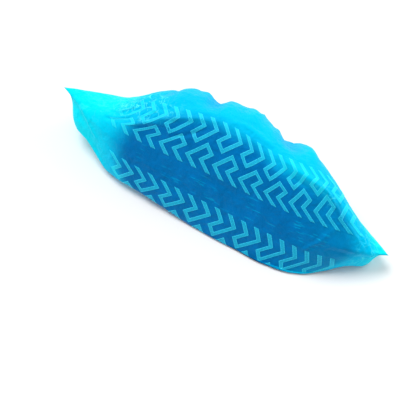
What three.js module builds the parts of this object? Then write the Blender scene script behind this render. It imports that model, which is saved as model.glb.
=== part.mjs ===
// Disposable shoe cover of thin nonwoven cloth with an elastic hem and a printed non-slip sole.
// One rectangle of cloth is folded along the sole's middle line, seamed at the heel and at the toe,
// and gathered round the mouth. The cover lies on its lower side wall, with its sole leaning over it.
// Millimetres. +X runs from the heel to the toe, +Y from the sole to the mouth, +Z is up.

import * as THREE from "three";

// The flat blank
const foldLength = 430;
const clothReach = 160;
const clothWall = 1.2;

// How far the cloth is pushed on towards the toe in the middle of the fold
const toeCrowding = 15;

// The sole, which leans over the floor and is bowed a little outwards
const soleWidth = 105;
const soleLean = 52;
const soleBow = 5;
const treadLift = 2.4;

// The side walls behind the sole
const wallRun = 112;
const crownHeight = 22;
const crownReach = 62;

// The heel corner and the toe tip: how far out, how far up the sole's lean, how far back from its face
const heelOut = 204;
const heelUp = 20;
const heelBack = 25;
const toeOut = 208;
const toeUp = 2;
const toeBack = 45;

// The mouth
const mouthLength = 156;
const mouthHeight = 52;
const mouthCentre = -16;
const mouthSill = 6.5;
const mouthEndHeight = 28;

// The elastic hem round the mouth
const hemThickness = 6;
const hemSides = 6;
const pieceGap = 0.3;

// Gathers below the hem, and the broad folds and dents of the walls
const gathersPerWall = 15;
const gatherDepth = 2.6;
const foldDepth = 7;

// The printed tread: double chevrons joined by a link, in rows along the sole
const stripWidth = 4.2;
const stripThickness = 0.8;
const stripGap = 0.6;
const chevronPitch = 17;
const tailLength = 17;
const shortLeg = 15;

// Rows of the tread: how far their vertices lie from the fold, which way they point (1 to the toe, -1 to
// the heel), how far the first vertex lies from the heel corner, and how many double chevrons there are
const treadRows = [
  { name: "outer", fromFold: 66.6, pointing: 1, start: 69.5, pairs: 10 },
  { name: "inner", fromFold: 28.3, pointing: -1, start: 79.5, pairs: 9 },
  { name: "lower", fromFold: -28.3, pointing: 1, start: 92.5, pairs: 9 },
];

// How finely the cloth is divided along the fold, and from the fold over the sole, round the sole's edge
// and up each side wall to the rim
const stepsAlong = 60;
const soleSteps = 5;
const edgeSteps = 3;
const wallSteps = 7;
const edgeWidth = 14;

// Broad folds of the walls: the wall (1 upper, -1 lower), the place and half width along the cloth, how far
// from the fold they begin, and their height as a share of the fold depth, less than 0 for a dent
const folds = [
  { wall: 1, at: 0.385, width: 0.024, from: 0.5, height: -1.6 },
  { wall: 1, at: 0.68, width: 0.045, from: 0.5, height: -1.6 },
  { wall: 1, at: 0.53, width: 0.03, from: 0.52, height: 0.5 },
  { wall: 1, at: 0.79, width: 0.03, from: 0.5, height: 0.6 },
  { wall: 1, at: 0.22, width: 0.025, from: 0.5, height: -0.9 },
  { wall: 1, at: 0.29, width: 0.025, from: 0.5, height: 0.8 },
  { wall: -1, at: 0.3, width: 0.03, from: 0.72, height: -0.5 },
  { wall: -1, at: 0.52, width: 0.035, from: 0.72, height: -0.5 },
  { wall: -1, at: 0.74, width: 0.03, from: 0.72, height: -0.5 },
];

// How far each wall stands open along the fold, as shares of the middle section,
// how far the lower wall has come down to the floor, and how far the cloth has gone over to the seam
// at the heel and to the seam at the toe
const stations = [
  { at: 0.0, low: 0.0, high: 0.0, floor: 0.0, heel: 1.0, toe: 0.0 },
  { at: 0.05, low: 0.66, high: 0.1, floor: 0.6, heel: 0.74, toe: 0.0 },
  { at: 0.12, low: 0.92, high: 0.3, floor: 1.02, heel: 0.36, toe: 0.0 },
  { at: 0.2, low: 0.86, high: 0.62, floor: 1.14, heel: 0.1, toe: 0.0 },
  { at: 0.32, low: 0.82, high: 0.82, floor: 1.14, heel: 0.0, toe: 0.0 },
  { at: 0.5, low: 0.98, high: 0.96, floor: 1.14, heel: 0.0, toe: 0.0 },
  { at: 0.65, low: 1.06, high: 0.84, floor: 1.14, heel: 0.0, toe: 0.0 },
  { at: 0.75, low: 1.16, high: 0.9, floor: 1.14, heel: 0.0, toe: 0.02 },
  { at: 0.86, low: 1.2, high: 1.02, floor: 1.14, heel: 0.0, toe: 0.14 },
  { at: 0.94, low: 1.08, high: 0.8, floor: 0.98, heel: 0.0, toe: 0.46 },
  { at: 1.0, low: 0.0, high: 0.0, floor: 0.0, heel: 0.0, toe: 1.0 },
];

// A smooth value between the rows of a table, read from the named column
function tableValue(rows, column, at) {
  const last = rows.length - 1;
  let i = 0;
  while (i < last - 1 && at > rows[i + 1].at) {
    i++;
  }
  const slope = (k) => {
    const a = rows[Math.max(0, k - 1)];
    const b = rows[Math.min(last, k + 1)];
    return (b[column] - a[column]) / (b.at - a.at);
  };
  const span = rows[i + 1].at - rows[i].at;
  const f = (at - rows[i].at) / span;
  const curve = (p, q, m, n) =>
    p * (1 + 2 * f) * (1 - f) ** 2 + q * f * f * (3 - 2 * f) + span * (m * f * (1 - f) ** 2 - n * f * f * (1 - f));
  return curve(rows[i][column], rows[i + 1][column], slope(i), slope(i + 1));
}

// The middle section, in the plane across the cover: x here is the way back, y the height
const direction = (degrees) =>
  new THREE.Vector2(Math.cos(THREE.MathUtils.degToRad(degrees)), Math.sin(THREE.MathUtils.degToRad(degrees)));
const upSole = direction(soleLean);
const intoCover = direction(soleLean - 90);
const soleFoot = new THREE.Vector2(0, treadLift + 1);
const soleMiddle = soleFoot.clone().addScaledVector(direction(soleLean + soleBow), soleWidth / 2);
const soleTop = soleMiddle.clone().addScaledVector(direction(soleLean - soleBow), soleWidth / 2);
const bowDepth = (soleWidth / 8) * Math.sin(THREE.MathUtils.degToRad(soleBow));
const rimLow = new THREE.Vector2(wallRun, mouthSill);
const rimHigh = new THREE.Vector2(wallRun + 4, mouthSill + mouthHeight);

// From the fold over the sole's lower edge and along the floor to the rim
const lowerPath = new THREE.SplineCurve([
  soleMiddle,
  soleMiddle.clone().lerp(soleFoot, 0.5).addScaledVector(intoCover, -bowDepth),
  soleMiddle.clone().lerp(soleFoot, 0.97),
  new THREE.Vector2(wallRun * 0.04, treadLift),
  new THREE.Vector2(wallRun * 0.2, treadLift * 0.9),
  new THREE.Vector2(wallRun * 0.32, 0),
  new THREE.Vector2(wallRun * 0.6, 0),
  new THREE.Vector2(wallRun * 0.86, 0),
  rimLow,
]);

// From the fold over the sole's upper edge and the crown to the rim
const upperPath = new THREE.SplineCurve([
  soleMiddle,
  soleMiddle.clone().lerp(soleTop, 0.5).addScaledVector(intoCover, -bowDepth),
  soleTop,
  new THREE.Vector2(soleTop.x + crownReach * 0.36, soleTop.y + crownHeight * 0.42),
  new THREE.Vector2(soleTop.x + crownReach * 0.72, soleTop.y + crownHeight * 0.32),
  new THREE.Vector2(soleTop.x + crownReach * 0.98, soleTop.y - crownHeight * 0.3),
  new THREE.Vector2(soleTop.x + crownReach, soleTop.y - crownHeight * 0.9),
  rimHigh,
]);

// The closed seams at the two ends, from the fold to the rim
const atSole = (x, up, back) => {
  const p = soleMiddle.clone().addScaledVector(upSole, up).addScaledVector(intoCover, back);
  return new THREE.Vector3(x, p.x, p.y);
};
const seamCurve = (corner, sign) => {
  const rimEnd = new THREE.Vector3(mouthCentre + sign * mouthLength / 2, wallRun - 2, mouthEndHeight);
  const sag = corner.clone().lerp(rimEnd, 0.5).add(new THREE.Vector3(sign * 6, 2, -3));
  return new THREE.CatmullRomCurve3([corner, sag, rimEnd]);
};
const heelSeam = seamCurve(atSole(-heelOut, heelUp, heelBack), -1);
const toeSeam = seamCurve(atSole(toeOut, toeUp, toeBack), 1);

// The sole narrows less beside the fold than at its edges: the power that its opening takes at the fold
const flatNearFold = 0.35;

// Half the thickness of the end seams, where two layers of cloth lie together
const seamHalf = clothWall;

// How far a point of the wall has gone over from the sole's form to the mouth's, from 0 to 1
const towardsMouth = (reach) => reach ** 1.9;

// A point of a wall's path: the cloth lies at its full width beside the fold and is drawn together
// towards the rim, where the path is shorter than the cloth
function wallPoint(path, reach) {
  const run = path.getLength();
  const slack = clothReach - run;
  return path.getPointAt((clothReach * reach - slack * reach ** 4) / run);
}

const soleReach = soleWidth / 2 / clothReach;
const edgeReach = soleReach + edgeWidth / clothReach;
const mix = THREE.MathUtils.lerp;
const ramp = (value, from, to) => THREE.MathUtils.smoothstep(value, from, to);

// How far a wall stands away from the line midway between the walls, as a share of the middle section
function openness(passed, across, mouth) {
  const reach = Math.abs(across);
  const sole = tableValue(stations, across < 0 ? "low" : "high", passed);
  const spread = sole ** mix(flatNearFold, 1, Math.min(1, reach / soleReach));
  const lying = across < 0 ? ramp(reach, soleReach, soleReach * 1.6) : 0;
  const wall = mix(spread, tableValue(stations, "floor", passed), lying);
  return mix(wall, Math.sin(Math.PI * passed), mouth);
}

// A point of the smooth cloth: passed is the share of the way from the heel corner to the toe tip, and
// across runs from -1 at the lower rim over 0 at the fold to 1 at the upper rim
function formPoint(passed, across) {
  const reach = Math.abs(across);
  const low = wallPoint(lowerPath, reach);
  const high = wallPoint(upperPath, reach);
  const middle = low.clone().lerp(high, 0.5);
  const mouth = towardsMouth(reach);
  const wall = (across < 0 ? low : high).sub(middle);
  wall.setLength(wall.length() * openness(passed, across, mouth) + seamHalf * Math.min(1, reach / soleReach));
  const heel = heelSeam.getPoint(reach);
  const toe = toeSeam.getPoint(reach);
  const towardsToe = mix(passed, (1 - Math.cos(Math.PI * passed)) / 2, mouth);
  const toHeel = tableValue(stations, "heel", passed);
  const toToe = tableValue(stations, "toe", passed);
  const spineBack = middle.x + toHeel * (heel.y - middle.x) + toToe * (toe.y - middle.x);
  const spineHigh = middle.y + toHeel * (heel.z - middle.y) + toToe * (toe.z - middle.y);
  return new THREE.Vector3(mix(heel.x, toe.x, towardsToe), spineBack + wall.x, spineHigh + wall.y);
}

// The fold's own curve, whose equal lengths give each row of the cloth its place
const foldSteps = 80;
const foldRuns = [0];
for (let k = 1; k <= foldSteps; k++) {
  const step = formPoint(k / foldSteps, 0).distanceTo(formPoint((k - 1) / foldSteps, 0));
  foldRuns.push(foldRuns[k - 1] + step);
}

// The share of the way from heel to toe that lies under a share of the cloth's fold
function passedAt(along) {
  const crowded = toeCrowding * Math.sin(Math.PI * along ** 1.4);
  const run = along * foldRuns[foldSteps] + crowded;
  let k = 0;
  while (k < foldSteps - 1 && foldRuns[k + 1] < run) {
    k++;
  }
  return (k + (run - foldRuns[k]) / (foldRuns[k + 1] - foldRuns[k])) / foldSteps;
}

const clothPoint = (along, across) => formPoint(passedAt(along), across);

// The outward normal of the smooth cloth
function clothNormal(along, across) {
  const step = 0.004;
  const a = THREE.MathUtils.clamp(along, step, 1 - step);
  const b = THREE.MathUtils.clamp(across, step - 1, 1 - step);
  const onward = clothPoint(a + step, b).sub(clothPoint(a - step, b));
  const sideways = clothPoint(a, b + step).sub(clothPoint(a, b - step));
  return onward.cross(sideways).normalize();
}

// How far gathers and folds lift a point of the cloth off its smooth form
function relief(along, across) {
  const reach = Math.abs(across);
  const inside = Math.sin(Math.PI * along) ** 0.5;
  const gathered = ramp(reach, 0.55, 0.95) * (1 - 0.7 * ramp(reach, 0.95, 1));
  let lift = gatherDepth * gathered * inside * Math.cos(2 * Math.PI * gathersPerWall * along);
  for (const fold of folds) {
    if (fold.wall * across > 0) {
      const bell = Math.exp(-(((along - fold.at) / fold.width) ** 2));
      lift += foldDepth * fold.height * bell * ramp(reach, fold.from, fold.from + 0.15) * (1 - ramp(reach, 0.85, 1));
    }
  }
  return lift;
}

// The lowest that the cloth lies at a distance from the fold: on the floor, or just over it at the tread
const lowestAt = (reach) => Math.min(treadLift, Math.max(0, wallPoint(lowerPath, reach).y));

// The columns of the cloth's grid, as shares of the way from the fold to the upper rim, or less than 0 to the
// lower rim
const spaced = (from, to, steps) => Array.from({ length: steps }, (_, k) => mix(from, to, (k + 1) / steps));
const reaches = [
  ...spaced(0, soleReach, soleSteps),
  ...spaced(soleReach, edgeReach, edgeSteps),
  ...spaced(edgeReach, 1, wallSteps),
];
const columns = [...reaches.map((reach) => -reach).reverse(), 0, ...reaches];

// A point of the cloth's outer face, or at some depth under it
function facePoint(along, across, depth) {
  const point = clothPoint(along, across);
  point.addScaledVector(clothNormal(along, across), relief(along, across) - depth);
  point.z = Math.max(point.z, lowestAt(Math.abs(across)) + depth);
  return point;
}

// Rows and columns of points, with the faces between them
class Surface {
  constructor() {
    this.points = [];
    this.faces = [];
  }

  add(point) {
    this.points.push(point);
    return this.points.length - 1;
  }

  quad(a, b, c, d) {
    this.faces.push([a, b, c], [a, c, d]);
  }

  geometry() {
    const geometry = new THREE.BufferGeometry().setFromPoints(this.points);
    geometry.setIndex(this.faces.flat());
    geometry.computeVertexNormals();
    return geometry;
  }
}

const faceRow = (row, depth) => columns.map((across) => facePoint(row / stepsAlong, across, depth));
const outerFace = Array.from({ length: stepsAlong + 1 }, (_, row) => faceRow(row, 0));

// The cloth: outer and inner faces, joined along the rim and closed by the two end seams
function clothShell() {
  const surface = new Surface();
  const last = columns.length - 1;
  const outer = outerFace.map((row) => row.map((p) => surface.add(p)));
  const inner = [];
  for (let row = 1; row < stepsAlong; row++) {
    inner.push(faceRow(row, clothWall).map((p) => surface.add(p)));
  }
  for (let i = 0; i < stepsAlong; i++) {
    for (let j = 0; j < last; j++) {
      surface.quad(outer[i][j], outer[i + 1][j], outer[i + 1][j + 1], outer[i][j + 1]);
    }
  }
  for (let i = 0; i < inner.length - 1; i++) {
    for (let j = 0; j < last; j++) {
      surface.quad(inner[i][j], inner[i][j + 1], inner[i + 1][j + 1], inner[i + 1][j]);
    }
    surface.quad(outer[i + 1][0], inner[i][0], inner[i + 1][0], outer[i + 2][0]);
    surface.quad(outer[i + 1][last], outer[i + 2][last], inner[i + 1][last], inner[i][last]);
  }
  closeSeam(surface, outer[0], outer[1], inner[0], false);
  closeSeam(surface, outer[stepsAlong], outer[stepsAlong - 1], inner[inner.length - 1], true);
  return surface.geometry();
}

// Closes one end: the seam's edge outside, the wall that ends the hollow inside, and the rim between
function closeSeam(surface, end, next, inner, turned) {
  const last = end.length - 1;
  const quad = (a, b, c, d) => (turned ? surface.quad(d, c, b, a) : surface.quad(a, b, c, d));
  const face = (a, b, c) => surface.faces.push(turned ? [c, b, a] : [a, b, c]);
  const fold = last / 2;
  for (let j = 0; j < fold - 1; j++) {
    quad(end[j], end[j + 1], end[last - j - 1], end[last - j]);
    quad(inner[j], inner[last - j], inner[last - j - 1], inner[j + 1]);
  }
  face(end[fold - 1], end[fold], end[fold + 1]);
  face(inner[fold - 1], inner[fold + 1], inner[fold]);
  quad(end[0], end[last], inner[last], inner[0]);
  face(end[last], next[last], inner[last]);
  face(inner[0], next[0], end[0]);
}

// A closed tube or strip through rings of points, each with the same number of corners
function loft(rings, closed) {
  const surface = new Surface();
  const index = rings.map((ring) => ring.map((p) => surface.add(p)));
  const sides = rings[0].length;
  const spans = closed ? rings.length : rings.length - 1;
  for (let i = 0; i < spans; i++) {
    const a = index[i];
    const b = index[(i + 1) % rings.length];
    for (let j = 0; j < sides; j++) {
      const k = (j + 1) % sides;
      surface.quad(a[j], b[j], b[k], a[k]);
    }
  }
  if (!closed) {
    const first = index[0];
    const end = index[rings.length - 1];
    surface.quad(first[0], first[1], first[2], first[3]);
    surface.quad(end[3], end[2], end[1], end[0]);
  }
  return surface.geometry();
}

// The hem: a rolled casing round the elastic, just past the edge of the cloth all round the mouth
function hemRing() {
  const rings = [];
  const radius = hemThickness / 2;
  const turns = 2 * stepsAlong;
  for (let k = 0; k < turns; k += 2) {
    const upper = k >= stepsAlong;
    const along = (upper ? turns - k : k) / stepsAlong;
    const side = upper ? 1 : -1;
    const rim = facePoint(along, side, clothWall / 2);
    const beyond = clothPoint(along, side).sub(clothPoint(along, side * 0.985)).normalize();
    const outward = clothNormal(along, side);
    outward.addScaledVector(beyond, -outward.dot(beyond)).normalize();
    const centre = rim.clone().addScaledVector(beyond, radius + clothWall / 2 + pieceGap);
    const ring = [];
    for (let j = 0; j < hemSides; j++) {
      const turn = (2 * Math.PI * j) / hemSides;
      const spoke = beyond.clone().multiplyScalar(Math.cos(turn)).addScaledVector(outward, Math.sin(turn));
      ring.push(centre.clone().addScaledVector(spoke, radius));
    }
    rings.push(ring);
  }
  return loft(rings, true);
}

// A point on the faceted outer face of the cloth, from its place on the flat blank, lifted off it
function onCloth(fromHeel, fromFold, lift) {
  const row = (fromHeel / foldLength) * stepsAlong;
  const across = fromFold / clothReach;
  const i = Math.floor(row);
  const j = columns.findIndex((column) => column > across) - 1;
  const f = row - i;
  const g = (across - columns[j]) / (columns[j + 1] - columns[j]);
  const near = outerFace[i][j];
  const far = outerFace[i + 1][j + 1];
  const side = f > g ? outerFace[i + 1][j] : outerFace[i][j + 1];
  const point = near.clone().multiplyScalar(1 - Math.max(f, g));
  point.addScaledVector(far, Math.min(f, g)).addScaledVector(side, Math.abs(f - g));
  return point.addScaledVector(clothNormal(fromHeel / foldLength, across), lift);
}

// The corners of a double chevron's middle line on the flat blank, from one tail to the other
function chevronCorners(start, fromFold, pointing) {
  const slant = Math.SQRT1_2;
  const link = chevronPitch * slant;
  const corners = [
    [-tailLength * slant, tailLength * slant],
    [0, 0],
    [-shortLeg * slant, -shortLeg * slant],
    [(link - shortLeg) * slant, -(link + shortLeg) * slant],
    [chevronPitch, 0],
    [chevronPitch - tailLength * slant, tailLength * slant],
  ];
  return corners.map(([a, b]) => new THREE.Vector2(start + pointing * a, fromFold + pointing * b));
}

// The link between the two chevrons is the third part of the strip
const linkPart = 3;

// A double chevron's raised strip, which bends where it crosses the columns of the cloth
function chevronStrip(corners) {
  const half = stripWidth / 2;
  const normals = corners.slice(1).map((c, k) => {
    const d = c.clone().sub(corners[k]).normalize();
    return new THREE.Vector2(-d.y, d.x);
  });
  const rowCut = (centre, normal) => [centre, new THREE.Vector2(half / normal.x, 0)];
  const cuts = [rowCut(corners[0], normals[0])];
  for (let k = 1; k < corners.length; k++) {
    const from = corners[k - 1];
    const to = corners[k];
    const margin = stripWidth / Math.abs(to.y - from.y);
    const crossings = columns
      .map((column) => (column * clothReach - from.y) / (to.y - from.y))
      .filter((part) => k !== linkPart && part > margin && part < 1 - margin)
      .sort((a, b) => a - b);
    for (const part of crossings) {
      cuts.push(rowCut(from.clone().lerp(to, part), normals[k - 1]));
    }
    if (k < corners.length - 1) {
      const mitre = normals[k - 1].clone().add(normals[k]);
      cuts.push([to, mitre.multiplyScalar(half / (1 + normals[k - 1].dot(normals[k])))]);
    } else {
      cuts.push(rowCut(to, normals[k - 1]));
    }
  }
  const rings = cuts.map(([centre, edge]) => {
    const left = centre.clone().add(edge);
    const right = centre.clone().sub(edge);
    const top = stripGap + stripThickness;
    return [
      onCloth(left.x, left.y, stripGap),
      onCloth(right.x, right.y, stripGap),
      onCloth(right.x, right.y, top),
      onCloth(left.x, left.y, top),
    ];
  });
  return loft(rings, false);
}

const clothFinish = new THREE.MeshStandardMaterial({ color: 0x0fb4ea, roughness: 0.7, metalness: 0 });
const hemFinish = new THREE.MeshStandardMaterial({ color: 0x35c4f2, roughness: 0.75, metalness: 0 });
const treadFinish = new THREE.MeshStandardMaterial({ color: 0x22c3e6, roughness: 0.5, metalness: 0 });

const shoeCover = new THREE.Group();

function place(name, geometry, material) {
  const mesh = new THREE.Mesh(geometry, material);
  mesh.name = name;
  shoeCover.add(mesh);
}

place("cloth_shell", clothShell(), clothFinish);
place("elastic_hem", hemRing(), hemFinish);
for (const row of treadRows) {
  for (let pair = 0; pair < row.pairs; pair++) {
    const corners = chevronCorners(row.start + 2 * chevronPitch * pair, row.fromFold, row.pointing);
    const number = String(pair + 1).padStart(2, "0");
    place(`tread_${row.name}_${number}`, chevronStrip(corners), treadFinish);
  }
}

// The origin lies on the floor under the middle of the cover
const box = new THREE.Box3().setFromObject(shoeCover);
shoeCover.position.set(-(box.min.x + box.max.x) / 2, -(box.min.y + box.max.y) / 2, -box.min.z);

export default shoeCover;
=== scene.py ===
"""Disposable shoe cover of thin nonwoven cloth, with an elastic hem and a printed non-slip sole.

One rectangle of cloth is folded along the sole's middle line, seamed at the heel and at the toe, and
gathered round the mouth. The cover lies on its lower side wall, with its sole leaning over it.
Metres. +X runs from the heel to the toe, +Y from the sole to the mouth, +Z is up.
"""

import functools
import math
from collections import namedtuple

import bpy
import numpy as np
from bpy.props import FloatProperty, FloatVectorProperty, PointerProperty
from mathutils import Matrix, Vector


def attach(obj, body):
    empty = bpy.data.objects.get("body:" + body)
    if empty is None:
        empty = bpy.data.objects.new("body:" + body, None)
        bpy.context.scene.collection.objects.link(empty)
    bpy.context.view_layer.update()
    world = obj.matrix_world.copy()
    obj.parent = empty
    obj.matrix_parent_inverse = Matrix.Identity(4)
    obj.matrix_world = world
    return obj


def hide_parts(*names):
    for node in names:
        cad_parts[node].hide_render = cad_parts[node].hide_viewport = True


bl_info = {
    "name": "Shoe cover",
    "version": (1, 0, 0),
    "blender": (4, 5, 0),
    "location": "3D View > Sidebar > Shoe cover",
    "description": "Builds a disposable shoe cover round its packed model",
    "category": "Object",
}

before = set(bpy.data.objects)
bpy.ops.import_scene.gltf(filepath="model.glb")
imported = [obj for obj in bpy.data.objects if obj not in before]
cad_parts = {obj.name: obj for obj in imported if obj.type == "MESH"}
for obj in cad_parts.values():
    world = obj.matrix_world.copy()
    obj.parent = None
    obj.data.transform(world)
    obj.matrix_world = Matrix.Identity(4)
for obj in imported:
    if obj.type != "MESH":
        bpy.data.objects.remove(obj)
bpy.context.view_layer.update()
MM = 0.001

# The flat blank, and how far it is pushed on towards the toe in the middle of the fold
FOLD_LENGTH = 0.430
CLOTH_REACH = 0.160
TOE_CROWDING = 0.015

# The sole, which leans over the floor and is bowed a little outwards, in metres and degrees, and how high
# the cloth stays off the floor for the row of the tread that is under it
SOLE_WIDTH = 0.105
SOLE_LEAN = 52
SOLE_BOW = 5
TREAD_LIFT = 2.4 * MM

# The side walls behind the sole, and the upper wall's crown: points back and up from the sole's top, as
# shares of its reach and its height
WALL_RUN = 0.112
CROWN_HEIGHT = 0.022
CROWN_REACH = 0.062
CROWN = ((0.36, 0.42), (0.72, 0.32), (0.98, -0.3), (1.0, -0.9))

# The heel corner and the toe tip: how far out, how far up the sole's lean, how far back from its face.
# Then how far the middle of an end seam sags, and half the gap that the walls keep beside it
HEEL_CORNER = (-0.208, 0.024, 0.025)
TOE_CORNER = (0.208, 0.002, 0.045)
SEAM_SAG = (6 * MM, 2 * MM, -3 * MM)
SEAM_HALF = 1.2 * MM

# The mouth
MOUTH_LENGTH = 0.156
MOUTH_HEIGHT = 0.052
MOUTH_CENTRE = -0.016
MOUTH_SILL = 6.5 * MM
MOUTH_END_HEIGHT = 0.028

# The power that the sole's opening takes at the fold, and that the turn to the mouth's form takes
FLAT_NEAR_FOLD = 0.35
TOWARDS_MOUTH = 1.9

# How far each wall stands open along the fold, as shares of the middle section, how far the lower wall
# has come down to the floor, and how far the cloth has gone over to the two end seams
Station = namedtuple("Station", "at low high floor heel toe")
STATIONS = (
    Station(0.0, 0.0, 0.0, 0.0, 1.0, 0.0),
    Station(0.05, 0.66, 0.1, 0.6, 0.74, 0.0),
    Station(0.12, 0.92, 0.3, 1.02, 0.36, 0.0),
    Station(0.2, 0.86, 0.62, 1.14, 0.1, 0.0),
    Station(0.32, 0.82, 0.82, 1.14, 0.0, 0.0),
    Station(0.5, 0.98, 0.96, 1.14, 0.0, 0.0),
    Station(0.65, 1.06, 0.84, 1.14, 0.0, 0.0),
    Station(0.75, 1.16, 0.9, 1.14, 0.0, 0.02),
    Station(0.86, 1.2, 1.02, 1.14, 0.0, 0.14),
    Station(0.94, 1.08, 0.8, 0.98, 0.0, 0.46),
    Station(1.0, 0.0, 0.0, 0.0, 0.0, 1.0),
)

# Broad folds and dents of the walls: the wall (1 upper, -1 lower), the place and half width as shares of
# the cloth's length, the share of its reach where they begin, and the height
Fold = namedtuple("Fold", "wall at width begins height")
FOLDS = (
    Fold(1, 0.385, 0.03, 0.5, -6.5 * MM),
    Fold(1, 0.68, 0.05, 0.5, -6.5 * MM),
    Fold(1, 0.53, 0.03, 0.52, 2.5 * MM),
    Fold(1, 0.79, 0.03, 0.5, 3.5 * MM),
    Fold(1, 0.22, 0.025, 0.5, -3.5 * MM),
    Fold(1, 0.29, 0.025, 0.5, 1.0 * MM),
    Fold(-1, 0.3, 0.03, 0.72, -3.5 * MM),
    Fold(-1, 0.52, 0.035, 0.72, -3.5 * MM),
    Fold(-1, 0.74, 0.03, 0.72, -3.5 * MM),
    Fold(-1, 0.04, 0.045, 0.02, 13.0 * MM),
    Fold(-1, 0.973, 0.038, 0.02, 17.0 * MM),
)

# Gathers that the elastic draws up: how many along each wall, where they begin and are full, their
# depth as a share of the gather depth, and how much of it is left at the rim
Gather = namedtuple("Gather", "count begins full depth at_rim")
GATHERS = (
    Gather(9, 0.7, 0.92, 0.65, 0.1),
    Gather(17, 0.72, 0.94, 0.8, 0.15),
    Gather(31, 0.8, 0.96, 0.5, 0.25),
    Gather(53, 0.88, 0.98, 0.4, 0.4),
)

# Creases in the cloth, in millimetres: three points of the blank that each runs through (from the heel,
# from the fold), its height and its width
Crease = namedtuple("Crease", "start middle end height width")
CREASES = (
    Crease((78, -1), (210, 0), (345, -2), 0.5, 1.3),
    Crease((330, -18), (341, 3), (362, 17), 2.2, 2.4),
    Crease((84, 30), (103, 47), (131, 56), 2.4, 2.6),
    Crease((100, 50), (140, 66), (188, 76), 3.6, 2.6),
    Crease((129, 60), (134, 48), (138, 40), 2.0, 1.8),
    Crease((138, 41), (155, 50), (180, 66), -2.2, 2.6),
    Crease((298, -10), (318, -15), (345, -13), 1.2, 1.8),
    Crease((366, 31), (384, 19), (396, 2), 1.8, 2.2),
    Crease((352, -8), (374, -6), (398, -12), -1.6, 2.6),
    Crease((170, 6), (205, 10), (238, 6), -1.0, 2.4),
    Crease((98, -10), (135, -7), (160, -12), 1.0, 2.0),
    Crease((40, 48), (62, 58), (78, 80), 2.4, 2.8),
    Crease((55, 20), (70, 34), (82, 52), -2.2, 3.2),
    Crease((392, 20), (404, 4), (410, -16), 2.0, 2.6),
    Crease((345, 60), (362, 46), (372, 28), 2.6, 2.6),
    Crease((285, 74), (318, 66), (356, 52), 5.0, 5.5),
    Crease((292, 60), (316, 55), (340, 44), -2.0, 3.0),
    Crease((200, 82), (232, 88), (268, 82), 2.4, 3.2),
    Crease((20, 10), (36, 0), (58, -18), 2.0, 3.0),
    Crease((15, -30), (40, -34), (70, -52), 2.2, 3.4),
)

# Patches of fine crumpling, in millimetres: their middle on the blank, how far they reach, and their depth
Patch = namedtuple("Patch", "middle spread depth")
CRUMPLES = (
    Patch((84, 74), (40, 24), 1.9),
    Patch((404, 4), (18, 40), 0.9),
    Patch((30, 30), (34, 60), 0.5),
    Patch((362, 52), (26, 16), 0.7),
)

# The cells of the crumpling, the wrinkles and the waves, and how high the last two are on the sole and on
# the walls. The sole turns into the walls between two shares of the cloth's reach
CRUMPLE_CELL = 7 * MM
WRINKLE_CELL = 21 * MM
WRINKLE_HEIGHTS = (0.3 * MM, 0.8 * MM)
WAVE_CELL = (38 * MM, 30 * MM)
WAVE_HEIGHTS = (0.7 * MM, 1.6 * MM)
SOLE_TO_WALL = (0.3, 0.55)

# The seed of each noise. The gathers and the crumpling count on from theirs
WANDER_SEED = 11
SWELL_SEED = 31
TONE_SEED = 51
HEM_SEEDS = (61, 62)
CRUMPLE_SEED = 71
WRINKLE_SEED = 81
WAVE_SEED = 91

# The darker blue over the sole: how far it reaches from the fold, by distance from the heel, in
# millimetres
SOLE_TONE = (
    (70, 0),
    (80, 26),
    (92, 44),
    (110, 58),
    (135, 69),
    (190, 76),
    (245, 75),
    (285, 66),
    (320, 57),
    (350, 49),
    (372, 42),
    (388, 24),
    (400, 0),
)
TONE_SOFTNESS = 13 * MM
TONE_RAGGEDNESS = 3 * MM
TONE_CELL = 30 * MM

# Where the darker sole tone comes in from the heel and goes out to the toe, where painted light makes the
# heel paler, and how far the streaks of painted highlight reach from the fold
TONE_HEEL = (0.070, 0.104)
TONE_TOE = (0.404, 0.370)
PAINTED_HEEL_LIGHT = (0.10, 0.02)
STREAK_REACH = 14 * MM

# Rows of the tread: how far their vertices lie from the fold, which way they point (1 to the toe, -1 to
# the heel), how far the first vertex lies from the heel corner, and how many double chevrons there are
TreadRow = namedtuple("TreadRow", "name from_fold pointing start pairs")
TREAD_ROWS = (
    TreadRow("outer", 66.6 * MM, 1, 69.5 * MM, 10),
    TreadRow("inner", 28.3 * MM, -1, 79.5 * MM, 10),
    TreadRow("lower", -28.3 * MM, 1, 92.5 * MM, 9),
    TreadRow("edge", -66.6 * MM, -1, 102.5 * MM, 9),
)

# How finely the cloth is divided, along the fold and over each side
ROWS = 336
SIDE_COLUMNS = 69

# The camera's bearing and height in degrees, the width of the picture that it frames, and how far its
# middle lies from the middle of the sole
CAMERA_BEARING = 29.4
CAMERA_HEIGHT = 60
PICTURE_WIDTH = 0.4584
AIM_RIGHT = -2.2 * MM
AIM_UP = -19.6 * MM

# Where the lights are, how wide the key light spreads in degrees, and how wide the rim light is
KEY_PLACE = (-0.85, 0.25, 1.65)
KEY_ANGLE = 38
RIM_PLACE = (0.9, 0.9, 0.7)
RIM_SIZE = 0.8


def linear(red, green, blue):
    """A screen colour of 0 to 255 as linear light."""
    shares = (channel / 255 for channel in (red, green, blue))
    return tuple(((s + 0.055) / 1.055) ** 2.4 if s > 0.04045 else s / 12.92 for s in shares)


def length_setting(name, description, default):
    return FloatProperty(name=name, description=description, default=default, unit="LENGTH")


def colour_setting(name, description, *screen):
    """A colour's setting, from its screen colour of 0 to 255."""
    default = linear(*screen)
    return FloatVectorProperty(name=name, description=description, default=default, subtype="COLOR")


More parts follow.
